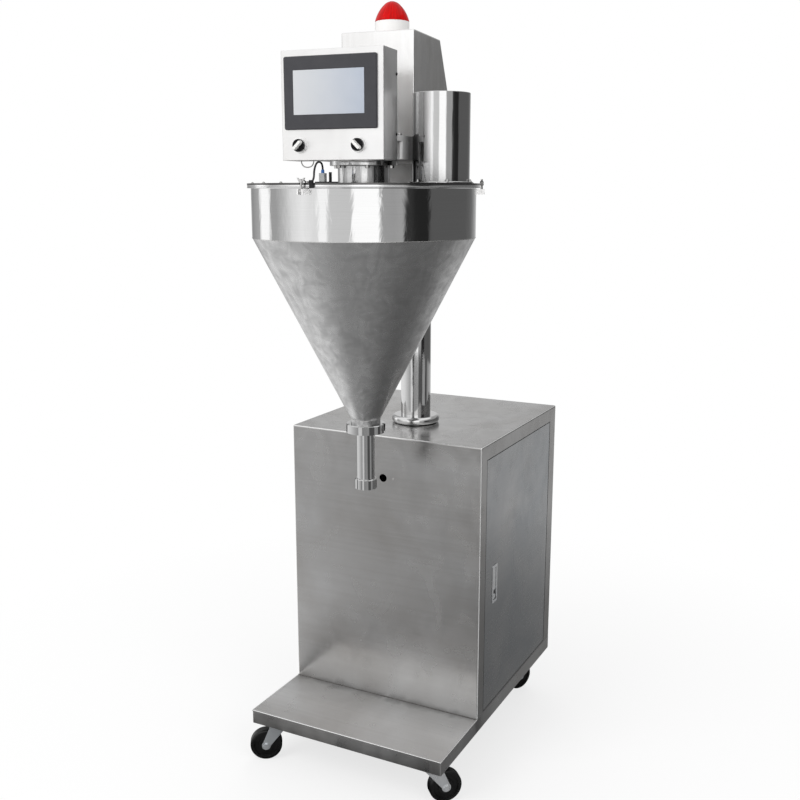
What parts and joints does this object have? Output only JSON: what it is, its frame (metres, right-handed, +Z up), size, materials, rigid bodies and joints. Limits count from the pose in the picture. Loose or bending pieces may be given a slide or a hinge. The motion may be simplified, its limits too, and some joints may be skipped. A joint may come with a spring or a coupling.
{
  "type": "auger powder filler",
  "caption": "Free-standing auger powder filler: wheeled steel cabinet, column and a swinging head with conical hopper, stirrer, filling tube, drive, beacon and operator panel.",
  "frame": {"origin": "on the floor, under the column's axis", "axes": "+Z up, -Y towards the platform in front of the cabinet, +X towards the side door"},
  "size_m": [0.5714, 0.969, 1.8245],
  "materials": {
    "brushed_sheet": "brushed stainless sheet",
    "panel_sheet": "fine brushed stainless sheet",
    "polished_steel": "polished stainless",
    "turned_steel": "turned or ground stainless",
    "lock_chrome": "bright chrome",
    "clamp_grey": "matt grey",
    "caster_zinc": "bluish zinc plate",
    "caster_black": "black tread on a black centre",
    "gasket_white": "pale silicone",
    "beacon_white": "white moulding",
    "beacon_red": "clear red moulding",
    "bezel_grey": "dark grey moulding with a pale screen",
    "knob_black": "black moulding",
    "sensor_grey": "grey moulding with a blue boot",
    "cord_black": "black jacket",
    "cord_pale": "pale jacket",
    "motor_dark": "black anodised",
    "motor_iron": "grey painted casting",
    "pulley_aluminium": "turned",
    "belt_black": "toothed belt",
    "board_zinc": "zinc plated sheet",
    "module_grey": "grey housings",
    "gland_black": "black nylon"
  },
  "bodies": {
    "stand": {"base_tray": "brushed_sheet", "cabinet_shell": "brushed_sheet", "back_panel": "brushed_sheet", "door_pivots": "turned_steel", "column": "polished_steel", "column_flange": "polished_steel", "cable_gland": "gland_black", "electrics_plate": "board_zinc", "control_modules": "module_grey", "caster_plates": "caster_zinc"},
    "door": {"side_door": "brushed_sheet", "lock_body": "lock_chrome"},
    "lock_handle": {"lock_paddle": "lock_chrome"},
    "head": {"column_clamp": "clamp_grey", "drive_case": "turned_steel", "drive_plate": "turned_steel", "head_bolts": "turned_steel", "motor_cover": "brushed_sheet", "beacon_base": "beacon_white", "beacon_lens": "beacon_red", "servo_motor": "motor_dark", "stirrer_motor": "motor_iron", "drive_belts": "belt_black", "panel_box": "panel_sheet", "touch_panel": "bezel_grey", "selector_rings": "lock_chrome", "neck": "polished_steel", "spindle_bearings": "turned_steel", "lid": "turned_steel", "lid_gasket": "gasket_white", "inlet_tube": "polished_steel", "sensor_bracket": "knob_black", "level_sensor": "sensor_grey", "sensor_cable": "cord_black", "panel_cable": "cord_pale", "hopper": "polished_steel", "clamp_brackets": "turned_steel", "ring_nut": "turned_steel", "auger_tube": "turned_steel", "tube_collar": "turned_steel"},
    "auger": {"auger_screw": "turned_steel", "auger_shaft": "turned_steel"},
    "stirrer": {"stirrer_shaft": "turned_steel", "stirrer_paddles": "turned_steel"},
    "servo_rotor": {"servo_pulley": "pulley_aluminium"},
    "stirrer_motor_rotor": {"stirrer_motor_pulley": "pulley_aluminium"},
    "knob_left": {"selector_left": "knob_black"},
    "knob_right": {"selector_right": "knob_black"},
    "swing_bolt_1": {"swing_bolt_1": "turned_steel"},
    "swing_bolt_2": {"swing_bolt_2": "turned_steel"},
    "swing_bolt_3": {"swing_bolt_3": "turned_steel"},
    "fork_front_left": {"caster_fork_front_left": "caster_zinc"},
    "wheel_front_left": {"caster_wheel_front_left": "caster_black"},
    "fork_front_right": {"caster_fork_front_right": "caster_zinc"},
    "wheel_front_right": {"caster_wheel_front_right": "caster_black"},
    "fork_rear_right": {"caster_fork_rear_right": "caster_zinc"},
    "wheel_rear_right": {"caster_wheel_rear_right": "caster_black"},
    "fork_rear_left": {"caster_fork_rear_left": "caster_zinc"},
    "wheel_rear_left": {"caster_wheel_rear_left": "caster_black"}
  },
  "joints": [
    {"name": "head_swing", "type": "hinge", "parent": "stand", "child": "head", "pos_m": [0, 0, 1.45], "axis": [0, 0, 1], "range_deg": [-46.35, 33.65]},
    {"name": "auger_spin", "type": "hinge", "parent": "head", "child": "auger", "pos_m": [0.03683, -0.33096, 1.3], "axis": [0, 0, 1], "continuous": true},
    {"name": "servo_spin", "type": "hinge", "parent": "head", "child": "servo_rotor", "pos_m": [0.02256, -0.20275, 1.5], "axis": [0, 0, 1], "continuous": true},
    {"name": "stirrer_spin", "type": "hinge", "parent": "head", "child": "stirrer", "pos_m": [0.03683, -0.33096, 1.4], "axis": [0, 0, 1], "continuous": true},
    {"name": "stirrer_motor_spin", "type": "hinge", "parent": "head", "child": "stirrer_motor_rotor", "pos_m": [0.01217, -0.10933, 1.487], "axis": [0, 0, 1], "continuous": true},
    {"name": "selector_left_turn", "type": "hinge", "parent": "head", "child": "knob_left", "pos_m": [-0.01626, -0.49946, 1.5], "axis": [0.1106, -0.9939, 0], "range_deg": [0, 90]},
    {"name": "selector_right_turn", "type": "hinge", "parent": "head", "child": "knob_right", "pos_m": [0.11116, -0.48528, 1.5], "axis": [0.1106, -0.9939, 0], "range_deg": [-90, 0]},
    {"name": "clamp_1_swing", "type": "hinge", "parent": "head", "child": "swing_bolt_1", "pos_m": [0.04063, -0.58693, 1.409], "axis": [0.9999, 0.0148, 0], "range_deg": [0, 110]},
    {"name": "clamp_2_swing", "type": "hinge", "parent": "head", "child": "swing_bolt_2", "pos_m": [0.25661, -0.19968, 1.409], "axis": [-0.5128, 0.8585, 0], "range_deg": [0, 110]},
    {"name": "clamp_3_swing", "type": "hinge", "parent": "head", "child": "swing_bolt_3", "pos_m": [-0.18675, -0.20626, 1.409], "axis": [-0.4871, -0.8733, 0], "range_deg": [0, 110]},
    {"name": "door_swing", "type": "hinge", "parent": "stand", "child": "door", "pos_m": [0.254, 0.2975, 0.468], "axis": [0, 0, 1], "range_deg": [0, 105]},
    {"name": "lock_paddle_lift", "type": "hinge", "parent": "door", "child": "lock_handle", "pos_m": [0.2575, -0.085, 0.4972], "axis": [0, -1, 0], "range_deg": [0, 35], "stiffness_Nm_per_rad": 0.3},
    {"name": "swivel_front_left", "type": "hinge", "parent": "stand", "child": "fork_front_left", "pos_m": [-0.212, -0.344, 0.094], "axis": [0, 0, 1], "continuous": true},
    {"name": "roll_front_left", "type": "hinge", "parent": "fork_front_left", "child": "wheel_front_left", "pos_m": [-0.24051, -0.36252, 0.04], "axis": [-0.5446, 0.8387, 0], "continuous": true},
    {"name": "swivel_front_right", "type": "hinge", "parent": "stand", "child": "fork_front_right", "pos_m": [0.212, -0.344, 0.094], "axis": [0, 0, 1], "continuous": true},
    {"name": "roll_front_right", "type": "hinge", "parent": "fork_front_right", "child": "wheel_front_right", "pos_m": [0.23687, -0.32081, 0.04], "axis": [0.682, -0.7314, 0], "continuous": true},
    {"name": "swivel_rear_right", "type": "hinge", "parent": "stand", "child": "fork_rear_right", "pos_m": [0.212, 0.304, 0.094], "axis": [0, 0, 1], "continuous": true},
    {"name": "roll_rear_right", "type": "hinge", "parent": "fork_rear_right", "child": "wheel_rear_right", "pos_m": [0.19552, 0.27426, 0.04], "axis": [-0.8746, 0.4848, 0], "continuous": true},
    {"name": "swivel_rear_left", "type": "hinge", "parent": "stand", "child": "fork_rear_left", "pos_m": [-0.212, 0.304, 0.094], "axis": [0, 0, 1], "continuous": true},
    {"name": "roll_rear_left", "type": "hinge", "parent": "fork_rear_left", "child": "wheel_rear_left", "pos_m": [-0.24395, 0.31563, 0.04], "axis": [0.342, 0.9397, 0], "continuous": true}
  ],
  "couplings": [
    {"joint": "servo_spin", "follows": "auger_spin", "ratio": 1.6},
    {"joint": "stirrer_motor_spin", "follows": "stirrer_spin", "ratio": 2}
  ]
}
